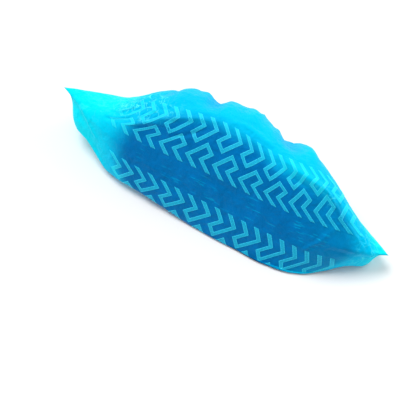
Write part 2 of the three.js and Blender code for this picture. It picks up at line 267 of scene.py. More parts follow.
class ClothSettings(bpy.types.PropertyGroup):
    wall: length_setting("Cloth thickness", "Thickness of the nonwoven cloth", 0.4 * MM)
    gather_depth: length_setting("Gather depth", "Height of the gathers round the mouth", 3.0 * MM)
    bright: colour_setting("Cloth colour", "Colour of the raised cloth", 0, 203, 245)
    # Painted shade: the fold colour darkens the cloth down in its folds, the cloth colour shows on their
    # tops
    deep: colour_setting("Fold shade colour", "Painted shade down in the folds", 0, 168, 232)
    # The sole colour is a darker blue laid over the sole
    sole: colour_setting("Sole colour", "Colour of the darker sole", 0, 113, 190)
    # Painted light: the heel and the toe are brighter, as where the light falls on them
    ends: colour_setting("Lit end colour", "Painted light on the heel and the toe", 0, 232, 253)


class HemSettings(bpy.types.PropertyGroup):
    thickness: length_setting("Hem thickness", "Thickness of the rolled hem", 5.6 * MM)
    colour: colour_setting("Hem colour", "Colour of the hem", 96, 222, 250)


class TreadSettings(bpy.types.PropertyGroup):
    width: length_setting("Strip width", "Width of a strip", 4.2 * MM)
    height: length_setting("Strip height", "Height of the print", 0.4 * MM)
    pitch: length_setting("Pitch", "From one chevron to the next", 17 * MM)
    tail: length_setting("Tail", "Length of the long leg", 17 * MM)
    short_leg: length_setting("Short leg", "Length of the short leg", 15 * MM)
    fill: colour_setting("Print colour", "Colour inside a strip", 10, 172, 224)
    # The print's colour where the darker sole tone does not reach
    on_wall: colour_setting("Print on the wall", "Its colour off the darker sole", 0, 226, 250)
    outline: colour_setting("Outline colour", "Colour of its edges", 60, 228, 252)


class StageSettings(bpy.types.PropertyGroup):
    floor_size: length_setting("Floor size", "Width of the floor", 12.0)
    lens: FloatProperty(name="Lens", description="Focal length in millimetres", default=200.0)
    key: FloatProperty(name="Key light", description="Strength of the key light", default=2.2)
    rim: FloatProperty(name="Rim light", description="Power of the rim light in watts", default=7.0)
    sky: FloatProperty(name="Room light", description="Strength of the light all round", default=0.5)


def group_setting(kind, name):
    return PointerProperty(type=kind, name=name, description=f"Settings of the {name.lower()}")


class ShoeCoverSettings(bpy.types.PropertyGroup):
    cloth: group_setting(ClothSettings, "Cloth")
    hem: group_setting(HemSettings, "Hem")
    tread: group_setting(TreadSettings, "Tread")
    stage: group_setting(StageSettings, "Stage")


def mix(a, b, share):
    return a + (b - a) * share


def ramp(value, start, end):
    """A smooth step from 0 at start to 1 at end."""
    share = np.clip((value - start) / (end - start), 0, 1)
    return share * share * (3 - 2 * share)


def direction(degrees):
    return np.array([math.cos(math.radians(degrees)), math.sin(math.radians(degrees))])


def noise(x, y, seed):
    """Smooth noise from -1 to 1 over a plane, in cells of 1 by 1."""
    size = 128
    lattice = np.random.default_rng(seed).uniform(-1, 1, (size, size))
    left = np.floor(x).astype(int)
    low = np.floor(y).astype(int)
    f = ramp(x - left, 0, 1)
    g = ramp(y - low, 0, 1)

    def corner(i, j):
        return lattice[(left + i) % size, (low + j) % size]

    return mix(mix(corner(0, 0), corner(1, 0), f), mix(corner(0, 1), corner(1, 1), f), g)


def cubic(start, end, leave, arrive, share):
    """A smooth curve from start to end, which leaves and arrives by the slopes given."""
    bend = -3 * start + 3 * end - 2 * leave - arrive
    return ((2 * start - 2 * end + leave + arrive) * share + bend) * share * share + leave * share + start


def station_value(column, at):
    """A smooth value between the stations' rows."""
    places = np.array([row.at for row in STATIONS])
    values = np.array([getattr(row, column) for row in STATIONS])
    last = len(places) - 1
    before = np.maximum(np.arange(last + 1) - 1, 0)
    after = np.minimum(np.arange(last + 1) + 1, last)
    slopes = (values[after] - values[before]) / (places[after] - places[before])
    i = np.clip(np.searchsorted(places, at) - 1, 0, last - 1)
    span = places[i + 1] - places[i]
    f = (at - places[i]) / span
    return cubic(values[i], values[i + 1], span * slopes[i], span * slopes[i + 1], f)


def curve_point(points, at):
    """A smooth curve through points, at shares of its points from 0 to 1."""
    last = len(points) - 1
    i = np.clip(np.floor(at * last).astype(int), 0, last - 1)
    f = (at * last - i)[..., None]
    before, start = points[np.maximum(i - 1, 0)], points[i]
    end, after = points[i + 1], points[np.minimum(i + 2, last)]
    return cubic(start, end, (end - before) / 2, (after - start) / 2, f)


class Path:
    """A smooth path through points, and how far along it each place lies."""

    def __init__(self, points):
        self.points = np.array(points)
        self.places = np.linspace(0, 1, 2001)
        steps = np.linalg.norm(np.diff(curve_point(self.points, self.places), axis=0), axis=1)
        self.runs = np.concatenate([[0], np.cumsum(steps)])

    def wall_point(self, reach):
        """The cloth lies at its full width beside the fold and is drawn together towards the rim."""
        slack = CLOTH_REACH - self.runs[-1]
        run = CLOTH_REACH * reach - slack * reach**4
        return curve_point(self.points, np.interp(run, self.runs, self.places))


# The middle section, in the plane across the cover: the way back, and the height
UP_SOLE = direction(SOLE_LEAN)
INTO_COVER = direction(SOLE_LEAN - 90)
SOLE_FOOT = np.array([0.0, TREAD_LIFT + 1 * MM])
SOLE_MIDDLE = SOLE_FOOT + direction(SOLE_LEAN + SOLE_BOW) * SOLE_WIDTH / 2
SOLE_TOP = SOLE_MIDDLE + direction(SOLE_LEAN - SOLE_BOW) * SOLE_WIDTH / 2
BOW_DEPTH = SOLE_WIDTH / 8 * math.sin(math.radians(SOLE_BOW))
SOLE_REACH = SOLE_WIDTH / 2 / CLOTH_REACH

LOWER_PATH = Path(
    [
        SOLE_MIDDLE,
        mix(SOLE_MIDDLE, SOLE_FOOT, 0.5) - INTO_COVER * BOW_DEPTH,
        mix(SOLE_MIDDLE, SOLE_FOOT, 0.97),
        (WALL_RUN * 0.04, TREAD_LIFT),
        (WALL_RUN * 0.2, TREAD_LIFT * 0.9),
        (WALL_RUN * 0.32, 0),
        (WALL_RUN * 0.6, 0),
        (WALL_RUN * 0.86, 0),
        (WALL_RUN, MOUTH_SILL),
    ]
)
UPPER_PATH = Path(
    [
        SOLE_MIDDLE,
        mix(SOLE_MIDDLE, SOLE_TOP, 0.5) - INTO_COVER * BOW_DEPTH,
        SOLE_TOP,
        *[SOLE_TOP + np.array([CROWN_REACH * back, CROWN_HEIGHT * up]) for back, up in CROWN],
        (WALL_RUN + 4 * MM, MOUTH_SILL + MOUTH_HEIGHT),
    ]
)


def seam_points(corner, sign):
    """The end seam's corner, its middle and its end at the rim."""
    out, up, back = corner
    section = SOLE_MIDDLE + UP_SOLE * up + INTO_COVER * back
    start = np.array([out, *section])
    end = np.array([MOUTH_CENTRE + sign * MOUTH_LENGTH / 2, WALL_RUN - 2 * MM, MOUTH_END_HEIGHT])
    sag = np.array([sign * SEAM_SAG[0], SEAM_SAG[1], SEAM_SAG[2]])
    return np.array([start, (start + end) / 2 + sag, end])


HEEL_SEAM = seam_points(HEEL_CORNER, -1)
TOE_SEAM = seam_points(TOE_CORNER, 1)


def seam_point(points, reach):
    """A point of an end seam, from the fold at 0 to the rim at 1."""
    start, middle, end = points
    knots = np.array([2 * start - middle, start, middle, end, 2 * end - middle])
    i = np.clip(np.floor(2 * reach).astype(int), 0, 1)
    f = (2 * reach - i)[..., None]
    a, b, c, d = knots[i], knots[i + 1], knots[i + 2], knots[i + 3]
    ab, bc, cd = (np.sqrt(np.linalg.norm(q - p, axis=-1))[..., None] for p, q in ((a, b), (b, c), (c, d)))
    leave = ((b - a) / ab - (c - a) / (ab + bc) + (c - b) / bc) * bc
    arrive = ((c - b) / bc - (d - b) / (bc + cd) + (d - c) / cd) * bc
    return cubic(b, c, leave, arrive, f)


def openness(passed, across, mouth):
    """How far a wall stands away from the line midway between the walls."""
    reach = np.abs(across)
    sole = np.where(across < 0, station_value("low", passed), station_value("high", passed))
    spread = np.maximum(sole, 0) ** mix(FLAT_NEAR_FOLD, 1, np.minimum(1, reach / SOLE_REACH))
    lying = np.where(across < 0, ramp(reach, SOLE_REACH, SOLE_REACH * 1.6), 0)
    wall = mix(spread, station_value("floor", passed), lying)
    return mix(wall, np.sin(math.pi * passed), mouth)


def form_point(passed, across):
    """The smooth cloth, before it is moved to its place: passed runs from the heel corner to the toe
    tip, and across from -1 at the lower rim over 0 at the fold to 1 at the upper rim."""
    passed, across = np.broadcast_arrays(passed, across)
    reach = np.abs(across)
    low = LOWER_PATH.wall_point(reach)
    high = UPPER_PATH.wall_point(reach)
    middle = (low + high) / 2
    mouth = reach**TOWARDS_MOUTH
    wall = np.where(across[..., None] < 0, low, high) - middle
    length = np.maximum(np.linalg.norm(wall, axis=-1), 1e-9)
    wanted = length * openness(passed, across, mouth) + SEAM_HALF * np.minimum(1, reach / SOLE_REACH)
    wall = wall * (wanted / length)[..., None]
    heel = seam_point(HEEL_SEAM, reach)
    toe = seam_point(TOE_SEAM, reach)
    towards_toe = mix(passed, (1 - np.cos(math.pi * passed)) / 2, mouth)
    to_heel = station_value("heel", passed)[..., None]
    to_toe = station_value("toe", passed)[..., None]
    spine = middle + to_heel * (heel[..., 1:] - middle) + to_toe * (toe[..., 1:] - middle)
    x = mix(heel[..., 0], toe[..., 0], towards_toe)
    return np.concatenate([x[..., None], spine + wall], axis=-1)


def passed_at(along):
    """The share of the way from heel to toe that lies under a share of the cloth's fold."""
    places = np.linspace(0, 1, 81)
    steps = np.linalg.norm(np.diff(form_point(places, np.zeros(81)), axis=0), axis=1)
    runs = np.concatenate([[0], np.cumsum(steps)])
    run = along * runs[-1] + TOE_CROWDING * np.sin(math.pi * along**1.4)
    return np.interp(run, runs, places)


def unit(vectors):
    return vectors / np.maximum(np.linalg.norm(vectors, axis=-1, keepdims=True), 1e-12)


def form_normal(along, across):
    """The outward normal of the smooth cloth."""
    step = 0.004
    a = np.clip(along, step, 1 - step)
    b = np.clip(across, step - 1, 1 - step)
    onward = form_point(passed_at(a + step), b) - form_point(passed_at(a - step), b)
    sideways = form_point(passed_at(a), b + step) - form_point(passed_at(a), b - step)
    return unit(np.cross(onward, sideways))


def placed(points):
    """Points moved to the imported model's place: its toe tip is the cloth's furthest corner."""
    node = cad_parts["cloth_shell"]
    tip = np.array(max((v.co for v in node.data.vertices), key=lambda co: co.x))
    return points + (tip - TOE_SEAM[0])


def broad_folds(along, across):
    reach = np.abs(across)
    lift = np.zeros_like(reach)
    for fold in FOLDS:
        bell = np.exp(-(((along - fold.at) / fold.width) ** 2))
        lasting = ramp(reach, fold.begins, fold.begins + 0.15) * (1 - ramp(reach, 0.85, 1))
        lift += np.where(fold.wall * across > 0, fold.height * bell * lasting, 0)
    return lift


def gathers(along, across, depth):
    """Gathers that branch into more and finer ones towards the elastic, not alike on both walls."""
    reach = np.abs(across)
    side = np.where(across > 0, 1.0, 0.0)
    inside = np.sqrt(np.maximum(np.sin(math.pi * along), 0))
    lift = np.zeros_like(reach)
    for number, gather in enumerate(GATHERS):
        wander = noise(along * gather.count * 0.55 + 40 * side, reach * 2.2, WANDER_SEED + number)
        turns = along * gather.count + 0.42 * wander + 0.3 * side
        ridge = 2 * np.sqrt(np.cos(math.pi * turns) ** 2 + 0.03) - 1.2
        swell = 0.75 + 0.45 * noise(along * gather.count * 0.8 + 7 * side, reach * 4, SWELL_SEED + number)
        growing = ramp(reach, gather.begins, gather.full)
        ending = mix(1, gather.at_rim, ramp(reach, 0.9, 1))
        lift += depth * gather.depth * ridge * swell * growing * ending
    return lift * inside


def crease_lift(u, v, crease):
    """A narrow ridge along a curved line of the blank, which fades at its ends."""
    steps = 33
    t = np.linspace(0, 1, steps)[:, None]
    start, middle, end = (np.array(point) * MM for point in (crease.start, crease.middle, crease.end))
    pull = 2 * middle - (start + end) / 2
    line = (1 - t) ** 2 * start + 2 * t * (1 - t) * pull + t**2 * end
    squares = np.stack([(u - x) ** 2 + (v - y) ** 2 for x, y in line])
    nearest = squares.argmin(axis=0) / (steps - 1)
    fading = np.sqrt(np.maximum(np.sin(math.pi * nearest), 0))
    return crease.height * MM * fading * np.exp(-squares.min(axis=0) / (crease.width * MM) ** 2)


def crumpled(u, v, size, seed):
    """Sharp little ridges in all directions, from -1 to 1."""
    bend = 0.6 * noise(u / size * 0.7, v / size * 0.7, seed + 1)
    coarse = 1 - 2 * np.abs(noise(u / size + bend, v / size - bend, seed))
    fine = 1 - 2 * np.abs(noise(u / size * 2.1 - bend, v / size * 2.1 + bend, seed + 2))
    return 0.7 * coarse + 0.3 * fine


def crumple_mask(u, v):
    """How deep the crumpling is."""
    lift = np.zeros_like(u)
    for patch in CRUMPLES:
        x = (u / MM - patch.middle[0]) / patch.spread[0]
        y = (v / MM - patch.middle[1]) / patch.spread[1]
        lift += patch.depth * MM * np.exp(-(x**2) - y**2)
    return lift


def relief(along, across, depth):
    """How far gathers, folds, creases and crumpling lift each point off the smooth cloth."""
    u = along * FOLD_LENGTH
    v = across * CLOTH_REACH
    inside = np.sqrt(np.maximum(np.sin(math.pi * along), 0))
    lift = broad_folds(along, across) + gathers(along, across, depth)
    for crease in CREASES:
        lift += crease_lift(u, v, crease)
    lift += crumple_mask(u, v) * crumpled(u, v, CRUMPLE_CELL, CRUMPLE_SEED)
    wall = ramp(np.abs(across), *SOLE_TO_WALL)
    lift += inside * mix(*WRINKLE_HEIGHTS, wall) * crumpled(u, v, WRINKLE_CELL, WRINKLE_SEED)
    lift += inside * mix(*WAVE_HEIGHTS, wall) * noise(u / WAVE_CELL[0], v / WAVE_CELL[1], WAVE_SEED)
    return lift


Cloth = namedtuple("Cloth", "along across smooth normal lift points")


@functools.cache
def cloth_surface(depth):
    """The finished cloth's outer face, sewn at both ends and held off the floor, as a grid of points."""
    along = np.linspace(0, 1, ROWS + 1)[:, None]
    across = np.linspace(-1, 1, 2 * SIDE_COLUMNS + 1)[None, :]
    along, across = np.broadcast_arrays(along, across)
    smooth = form_point(passed_at(along), across)
    normal = form_normal(along, across)
    lift = relief(along, across, depth)
    points = smooth + normal * lift[..., None]
    lowest = np.clip(LOWER_PATH.wall_point(np.abs(across))[..., 1], 0, TREAD_LIFT)
    points[..., 2] = np.maximum(points[..., 2], lowest)
    for row in (0, ROWS):
        points[row] = (points[row] + points[row, ::-1]) / 2
    return Cloth(along, across, placed(smooth), normal, lift, placed(points))


def surface_normals(points):
    onward = np.gradient(points, axis=0)
    sideways = np.gradient(points, axis=1)
    return unit(np.cross(onward, sideways))


class Tree:
    """A node tree, built node by node."""

    def __init__(self, tree):
        self.tree = tree
        tree.nodes.clear()

    def node(self, kind, sockets=None, settings=None, out=0):
        """Adds a node of that type, sets it, then fills its sockets with values or links."""
        made = self.tree.nodes.new(kind)
        for key, value in (settings or {}).items():
            setattr(made, key, value)
        for key, value in (sockets or {}).items():
            if isinstance(value, Socket):
                self.tree.links.new(value.socket, made.inputs[key])
            else:
                made.inputs[key].default_value = value
        return Socket(self, made.outputs[out]) if made.outputs else None

    def function(self, operation, *values):
        return self.node("ShaderNodeMath", dict(enumerate(values)), {"operation": operation})

    def vector_function(self, operation, *values):
        return self.node("ShaderNodeVectorMath", dict(enumerate(values)), {"operation": operation})

    def along_axis(self, vector, axis):
        """One of a vector's three numbers."""
        return self.node("ShaderNodeSeparateXYZ", {"Vector": vector}, out=axis)


class Socket:
    """An output socket that takes part in sums."""

    def __init__(self, owner, socket):
        self.owner = owner
        self.socket = socket

    def __add__(self, other):
        return self.owner.function("ADD", self, other)

    def __radd__(self, other):
        return self.owner.function("ADD", other, self)

    def __sub__(self, other):
        return self.owner.function("SUBTRACT", self, other)

    def __mul__(self, other):
        return self.owner.function("MULTIPLY", self, other)

    def __rmul__(self, other):
        return self.owner.function("MULTIPLY", other, self)


class Finish(Tree):
    """A material with one shader, whose pattern is built from nodes."""

    def __init__(self, name):
        self.material = bpy.data.materials.new(name)
        self.material.use_nodes = True
        super().__init__(self.material.node_tree)

    def noise(self, vector, scale, detail, roughness=0.5):
        sockets = {"Vector": vector, "Scale": scale, "Detail": detail, "Roughness": roughness}
        return self.node("ShaderNodeTexNoise", sockets)

    def step(self, value, start, end):
        """A smooth step from 0 at start to 1 at end."""
        sockets = {"Value": value, "From Min": start, "From Max": end}
        return self.node("ShaderNodeMapRange", sockets, {"interpolation_type": "SMOOTHSTEP"})

    def ridge(self, vector, scale, detail, roughness=0.5):
        """Noise that is 0 along winding lines and rises to both sides of them."""
        return self.function("ABSOLUTE", self.noise(vector, scale, detail, roughness) - 0.5)

    def blend(self, share, a, b):
        """A mix of two colours."""
        a, b = (value if isinstance(value, Socket) else (*value, 1) for value in (a, b))
        return self.node("ShaderNodeMix", {0: share, 6: a, 7: b}, {"data_type": "RGBA"}, out=2)

    def attribute(self, name):
        return self.node("ShaderNodeAttribute", settings={"attribute_name": name}, out="Fac")

    def place(self):
        return self.node("ShaderNodeTexCoord", out="Object")

    def bent(self, vector, scale, distance):
        """A place that smooth noise moves a little in each direction."""
        sockets = {"Vector": vector, "Scale": scale, "Detail": 2}
        noisy = self.node("ShaderNodeTexNoise", sockets, out="Color")
        shift = self.vector_function("SUBTRACT", noisy, (0.5,) * 3)
        return self.vector_function("MULTIPLY_ADD", shift, (distance,) * 3, vector)

    def bump(self, height, distance, strength):
        sockets = {"Strength": strength, "Distance": distance, "Height": height}
        return self.node("ShaderNodeBump", sockets)

    def surface(self, **sockets):
        """The shader and the output, with spaces for the underscores in the sockets' names."""
        named = {key.replace("_", " "): value for key, value in sockets.items()}
        shader = self.node("ShaderNodeBsdfPrincipled", named)
        self.node("ShaderNodeOutputMaterial", {"Surface": shader})
        return self.material


def darker(colour, share):
    return tuple(share * channel for channel in colour)


def bonded_cloth(finish, blank):
    """The nonwoven's own relief: rows of tiny bond points, and fibres between them."""
    pitch = 2.2 * MM
    x = finish.along_axis(blank, "X") * FOLD_LENGTH
    y = finish.along_axis(blank, "Y") * (2 * CLOTH_REACH)
    turn = 2 * math.pi / pitch
    rows = finish.function("COSINE", (x + y) * turn) * finish.function("COSINE", (x - y) * turn)
    return finish.step(rows, 0.35, 0.8), finish.noise(finish.place(), 1400, 3, 0.7)


def sole_colour(finish, settings, blank):
    """The darker sole tone: mottled, with short pale streaks of painted highlight beside the fold, and
    paler towards the toe.
    """
    place = finish.place()
    mottled = finish.step(finish.noise(place, 65, 4, 0.6), 0.3, 0.75)
    sole = finish.blend(mottled, darker(settings.sole, 0.8), settings.sole)
    stretched = finish.node("ShaderNodeMapping", {"Vector": blank, "Scale": (20, 130, 1)})
    scattered = finish.step(finish.noise(place, 34, 1), 0.46, 0.58)
    streaks = finish.step(finish.noise(stretched, 1.0, 3, 0.6), 0.55, 0.66) * scattered
    streak_highlight = tuple(mix(a, b, 0.5) for a, b in zip(settings.sole, settings.bright))
    # Painted highlight: short pale streaks along the creases beside the fold
    sole = finish.blend(streaks * finish.attribute("creased"), sole, streak_highlight)
    towards_toe = finish.step(finish.along_axis(blank, "X"), 0.66, 0.95)
    return finish.blend(towards_toe * 0.22, sole, settings.bright)


def crumpled_ridges(finish):
    """Short bright lines where the cloth is crumpled: painted highlights along its ridges."""
    place = finish.place()
    bent = finish.bent(place, 90, 6 * MM)
    coarse = finish.step(finish.ridge(bent, 62, 1), 0.024, 0.0)
    narrow = finish.step(finish.ridge(bent, 104, 1), 0.026, 0.0)
    broken = finish.step(finish.noise(place, 90, 1), 0.4, 0.52)
    return (coarse + narrow) * broken * finish.attribute("crumple")


def cloth_finish(settings):
    finish = Finish("nonwoven_cloth")
    place = finish.place()
    blank = finish.node("ShaderNodeUVMap", settings={"uv_map": "blank"})
    points, fibres = bonded_cloth(finish, blank)
    cloudy = finish.noise(place, 22, 3)
    # Painted shade: darker in the folds and brighter on their tops, by how far the relief lifts the cloth,
    # with a little random cloudiness
    shade = finish.step(finish.attribute("raised") + (cloudy - 0.5) * 0.5, 0.0, 1.0)
    colour = finish.blend(shade, settings.deep, settings.bright)
    colour = finish.blend(finish.attribute("sole_tone"), colour, sole_colour(finish, settings, blank))
    x = finish.along_axis(blank, "X")
    # Painted light: brighter cloth at the heel and the toe
    colour = finish.blend(finish.step(x, 0.2, 0.07) + finish.step(x, 0.93, 0.98), colour, settings.ends)
    pale = (0.02, *(mix(channel, 1, 0.3) for channel in settings.bright[1:]))
    colour = finish.blend((fibres - 0.5) * 0.4 + points * 0.06, colour, pale)
    ridges = crumpled_ridges(finish)
    # Painted highlight: bright cyan lines along the crumpled ridges
    colour = finish.blend(ridges * 0.9, colour, (0.1, 0.96, 1.0))

    soft = finish.ridge(place, 42, 3, 0.55)
    fine = finish.ridge(place, 120, 2)
    height = fibres * 0.25 + points * -0.3 + ridges * 1.2 - soft * 26 - fine * 8
    return finish.surface(
        Base_Color=colour,
        Roughness=finish.step(fibres, 0.0, 1.0) * 0.15 + 0.5,
        Normal=finish.bump(height, 0.3 * MM, 0.6),
        Specular_IOR_Level=0.28,
        Specular_Tint=(0.0, 0.8, 1.0, 1.0),
        Sheen_Weight=0.1,
        Sheen_Tint=(0.0, 0.85, 1.0, 1.0),
    )


def hem_finish(settings):
    finish = Finish("elastic_hem")
    place = finish.place()
    fibres = finish.noise(place, 1300, 3, 0.7)
    cloudy = finish.step(finish.noise(place, 60, 2), 0.3, 0.7)
    # Painted shade: the hem is darker between its puckers and lighter on them, with random cloudiness
    pucker_shade = finish.step(finish.attribute("raised"), 0.0, 1.0)
    share = pucker_shade * 0.75 + cloudy * 0.25
    colour = finish.blend(share, darker(settings.colour, 0.7), settings.colour)
    return finish.surface(
        Base_Color=colour,
        Roughness=0.62,
        Normal=finish.bump(fibres, 0.2 * MM, 0.5),
        Sheen_Weight=0.15,
        Sheen_Tint=(0.5, 0.9, 1.0, 1.0),
    )


def print_finish(settings):
    finish = Finish("tread_print")
    place = finish.place()
    grain = finish.step(finish.noise(place, 950, 2, 0.6), 0.38, 0.62)
    patches = finish.step(finish.noise(place, 120, 3), 0.3, 0.7)
    inside = finish.blend(grain * 0.65 + patches * 0.35, darker(settings.fill, 0.72), settings.fill)
    inside = finish.blend(finish.attribute("sole_tone"), settings.on_wall, inside)
    outline = finish.step(finish.attribute("edge"), 0.5, 0.86)
    colour = finish.blend(outline * (0.5 + 0.5 * grain), inside, settings.outline)
    return finish.surface(
        Base_Color=colour,
        Roughness=0.42,
        Normal=finish.bump(grain, 0.12 * MM, 0.7),
        Specular_IOR_Level=0.4,
        Specular_Tint=(0.1, 0.8, 1.0, 1.0),
    )


def make_mesh(name, vertices, faces, attributes=None, uvs=None):
    """A smooth mesh object at the origin, with its point attributes and its own UV map."""
    mesh = bpy.data.meshes.new(name)
    mesh.from_pydata(vertices.tolist(), [], faces)
    for key, values in (attributes or {}).items():
        layer = mesh.attributes.new(key, "FLOAT", "POINT")
        layer.data.foreach_set("value", values.astype(np.float32))
    if uvs is not None:
        layer = mesh.uv_layers.new(name="blank")
        layer.data.foreach_set("uv", uvs.astype(np.float32).ravel())
    mesh.shade_smooth()
    made = bpy.data.objects.new(name, mesh)
    bpy.context.scene.collection.objects.link(made)
    return made


def grid_faces(rows, columns):
    """The corners of each face of a grid, as row and column numbers."""
    i, j = np.meshgrid(np.arange(rows - 1), np.arange(columns - 1), indexing="ij")
    i, j = i.ravel(), j.ravel()
    return np.stack([i, i + 1, i + 1, i], axis=1), np.stack([j, j, j + 1, j + 1], axis=1)


def blank_map(cloth, i, j):
    """Where points of the cloth lie on the flat blank, each way from 0 to 1."""
    return np.stack([cloth.along[i, j], (cloth.across[i, j] + 1) / 2], axis=-1)


def blank_guide(cloth):
    """The cloth's outer face alone, which carries the print while it is laid on."""
    rows, columns = cloth.points.shape[:2]
    i, j = grid_faces(rows, columns)
    faces = (i * columns + j).tolist()
    tone = {"sole_tone": cloth_attributes(cloth)["sole_tone"].ravel()}
    return make_mesh("blank_guide", cloth.points.reshape(-1, 3), faces, tone, blank_map(cloth, i, j))


def cloth_attributes(cloth):
    """What the finish needs to know at each point of the cloth."""
    u = cloth.along * FOLD_LENGTH
    v = cloth.across * CLOTH_REACH
    places, widths = np.array(SOLE_TONE).T * MM
    width = np.interp(u, places, widths)
    ragged = TONE_RAGGEDNESS * noise(u / TONE_CELL, v / TONE_CELL, TONE_SEED)
    tone = ramp(width - np.abs(v) + ragged, -TONE_SOFTNESS, TONE_SOFTNESS)
    tone *= ramp(u, *TONE_HEEL) * ramp(u, *TONE_TOE)
    # Painted shade, darker in the folds by the relief's lift, and painted light that makes the heel paler
    raised = 0.7 + cloth.lift / (20 * MM) + 0.5 * ramp(u, *PAINTED_HEEL_LIGHT)
    return {
        "sole_tone": tone,
        "raised": np.clip(raised, 0.2, 1),
        "creased": np.exp(-((v / STREAK_REACH) ** 2)),
        "crumple": np.clip(crumple_mask(u, v) / (1.5 * MM) - 0.12, 0, 1),
    }


def build_cloth(settings):
    """Both faces of the cloth, sewn at the heel and the toe and joined along the rim."""
    cloth = cloth_surface(settings.gather_depth)
    rows, columns = cloth.points.shape[:2]
    inner = cloth.points - surface_normals(cloth.points) * settings.wall
    short_of_seam = 0.6
    for row, beside in ((0, 1), (rows - 1, rows - 2)):
        middle = (cloth.points[beside] + cloth.points[beside, ::-1]) / 2
        inner[row] = mix(cloth.points[row], middle, short_of_seam)

    # At the heel and the toe the two walls share their points
    index = np.arange(rows * columns).reshape(rows, columns)
    half = columns // 2
    for row in (0, rows - 1):
        index[row, half + 1 :] = index[row, :half][::-1]
    i, j = grid_faces(rows, columns)
    k = np.arange(rows - 1)
    low = np.stack([k + 1, k, k, k + 1], axis=1)
    high = np.stack([k, k + 1, k + 1, k], axis=1)
    inner_first = rows * columns
    across_rim = np.array([0, 0, inner_first, inner_first])
    outside = index[i, j]
    inside = outside[:, ::-1] + inner_first
    faces = [outside, inside, index[low, 0] + across_rim, index[high, -1] + across_rim]
    uvs = blank_map(cloth, i, j)
    uvs = np.concatenate([uvs, uvs[:, ::-1], blank_map(cloth, low, 0), blank_map(cloth, high, -1)])

    vertices = np.concatenate([cloth.points.reshape(-1, 3), inner.reshape(-1, 3)])
    attributes = {key: np.tile(values.ravel(), 2) for key, values in cloth_attributes(cloth).items()}
    used, faces = np.unique(np.concatenate(faces), return_inverse=True)
    attributes = {key: values[used] for key, values in attributes.items()}
    made = make_mesh("cloth", vertices[used], faces.reshape(-1, 4).tolist(), attributes, uvs)
    made.data.materials.append(cloth_finish(settings))
    return made


def round_mouth(values):
    """Values along the whole rim: the lower wall from heel to toe, then the upper one back."""
    return np.concatenate([values[:, 0], values[-2:0:-1, -1]])


def build_hem(settings, cloth):
    """The rolled casing over the elastic, puckered like the cloth that it closes."""
    sides = 12
    flatness = 0.78
    radius = settings.thickness / 2
    evened = range(-4, 5)
    rim = round_mouth(cloth.points)
    rim = sum(np.roll(rim, shift, axis=0) for shift in evened) / len(evened)
    inland = 3
    low_way = cloth.smooth[:, 0] - cloth.smooth[:, inland]
    high_way = cloth.smooth[:, -1] - cloth.smooth[:, -1 - inland]
    beyond = unit(np.concatenate([low_way, high_way[-2:0:-1]]))
    outward = round_mouth(cloth.normal)
    outward = unit(outward - beyond * (outward * beyond).sum(-1, keepdims=True))
    around = np.linspace(0, 1, len(rim), endpoint=False)
    turns = around * 2 * GATHERS[-1].count
    wander = 0.5 * noise(turns * 0.5, turns * 0, HEM_SEEDS[0])
    pucker = np.cos(2 * math.pi * (turns + wander))
    size = radius * (1 + 0.13 * pucker + 0.1 * noise(turns * 0.9, turns * 0, HEM_SEEDS[1]))
    centre = rim + beyond * (0.7 * radius) + outward * (0.14 * radius * pucker)[:, None]
    turn = np.linspace(0, 2 * math.pi, sides, endpoint=False)
    vertices = (
        centre[:, None]
        + beyond[:, None] * (np.cos(turn)[None, :] * size[:, None])[..., None]
        + outward[:, None] * (flatness * np.sin(turn)[None, :] * size[:, None])[..., None]
    )
    vertices[..., 2] = np.maximum(vertices[..., 2], 0.1 * MM)
    rings = len(rim)
    a = np.repeat(np.arange(rings), sides)
    b = (a + 1) % rings
    j = np.tile(np.arange(sides), rings)
    k = (j + 1) % sides
    faces = np.stack([a * sides + j, b * sides + j, b * sides + k, a * sides + k], axis=1)
    # Painted shade between the puckers, carried to the hem's finish
    raised = np.repeat(0.5 + 0.5 * pucker, sides)
    made = make_mesh("hem", vertices.reshape(-1, 3), faces.tolist(), {"raised": raised})
    made.data.materials.append(hem_finish(settings))
    return made


class Grower(Tree):
    """A geometry tree with named inputs, which grows a plain mesh."""

    def __init__(self, name, inputs):
        group = bpy.data.node_groups.new(name, "GeometryNodeTree")
        super().__init__(group)
        self.group = group
        group.interface.new_socket("Geometry", in_out="INPUT", socket_type="NodeSocketGeometry")
        self.identifiers = {}
        for label, kind in inputs.items():
            made = group.interface.new_socket(label, in_out="INPUT", socket_type="NodeSocket" + kind)
            self.identifiers[label] = made.identifier
        group.interface.new_socket("Geometry", in_out="OUTPUT", socket_type="NodeSocketGeometry")
        self.entry = group.nodes.new("NodeGroupInput")

    def given(self, label):
        return Socket(self, self.entry.outputs[label])

    def close(self, geometry):
        """Smooth shading, and the material given."""
        geometry = self.node("GeometryNodeSetShadeSmooth", {"Geometry": geometry})
        sockets = {"Geometry": geometry, "Material": self.given("Material")}
        geometry = self.node("GeometryNodeSetMaterial", sockets)
        self.node("NodeGroupOutput", {"Geometry": geometry})

    def grow(self, made, values):
        """Runs the tree on an object, and leaves it with the mesh that comes out."""
        modifier = made.modifiers.new(self.group.name, "NODES")
        modifier.node_group = self.group
        for label, value in values.items():
            modifier[self.identifiers[label]] = value
        depsgraph = bpy.context.evaluated_depsgraph_get()
        grown = bpy.data.meshes.new_from_object(
            made.evaluated_get(depsgraph), preserve_all_data_layers=True, depsgraph=depsgraph
        )
        made.modifiers.clear()
        flat = made.data
        made.data = grown
        bpy.data.meshes.remove(flat)
        grown.name = made.name
        return made


